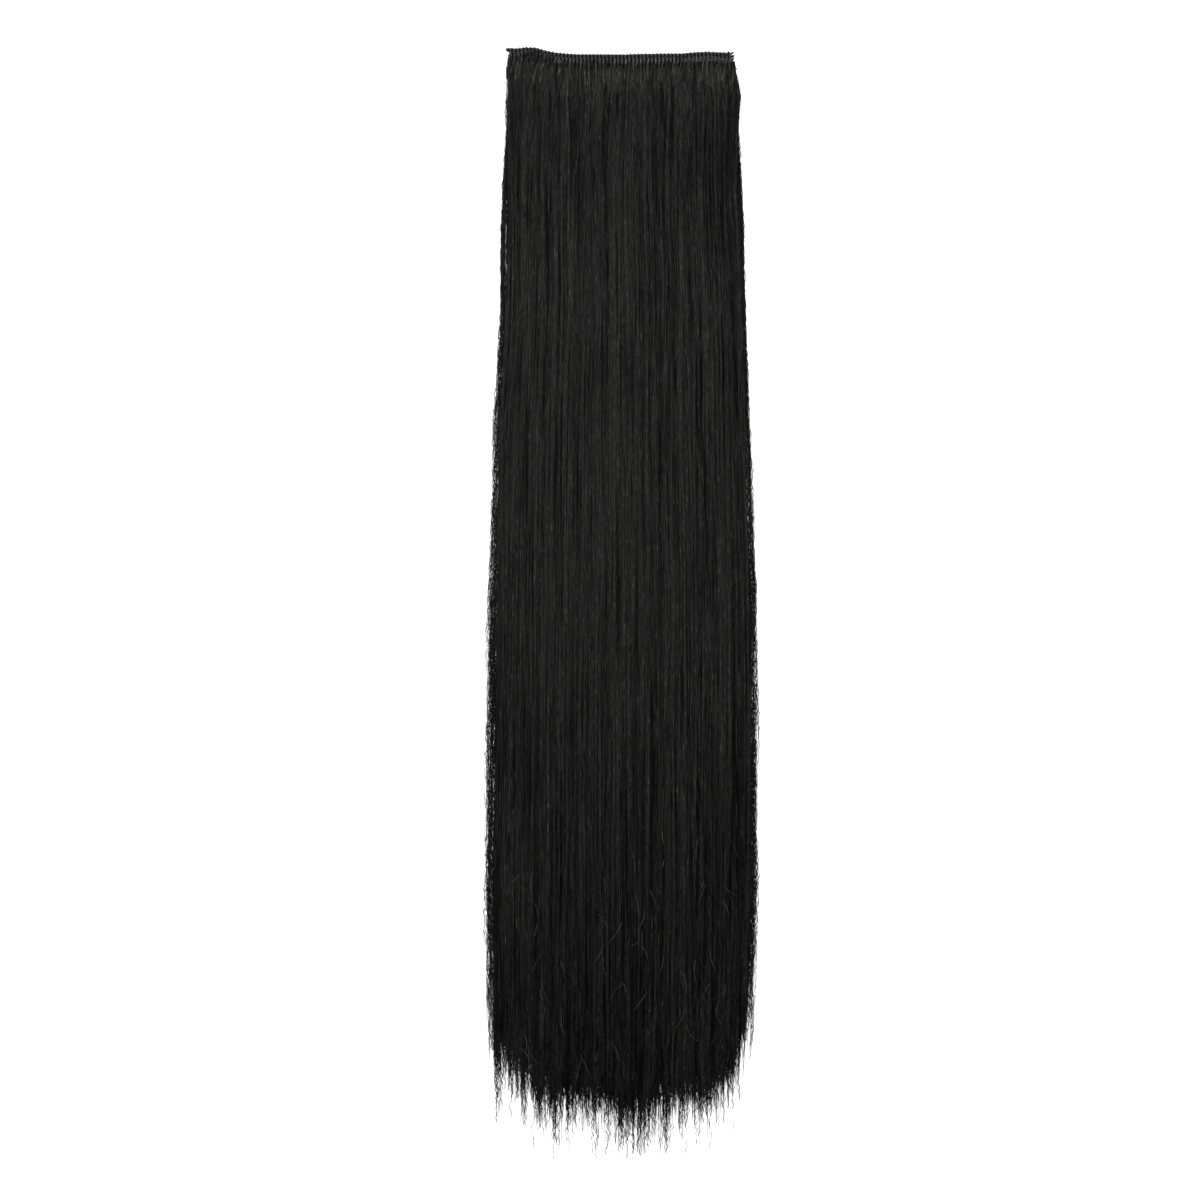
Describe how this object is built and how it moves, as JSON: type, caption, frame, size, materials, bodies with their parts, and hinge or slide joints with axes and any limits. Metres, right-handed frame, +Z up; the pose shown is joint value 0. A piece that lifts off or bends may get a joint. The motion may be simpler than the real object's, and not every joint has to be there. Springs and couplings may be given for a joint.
{
  "type": "hair extension",
  "caption": "Straight black clip-in hair extension lying flat: a doubled sewn weft with snap clips under its head and a long fall of hair with feathered tips.",
  "frame": {"origin": "on the surface that the hair lies on, under the middle of the whole piece", "axes": "+X across the hair, +Y along it towards the sewn head, +Z up from the surface"},
  "size_m": [0.145, 0.5991, 0.0076],
  "materials": {
    "hair": "satin",
    "weft": "matte",
    "clip": "satin"
  },
  "bodies": {
    "root": {"front_hair": "hair", "back_hair": "hair", "front_band": "weft", "back_band": "weft", "clip_left": "clip", "clip_right": "clip"}
  },
  "joints": []
}
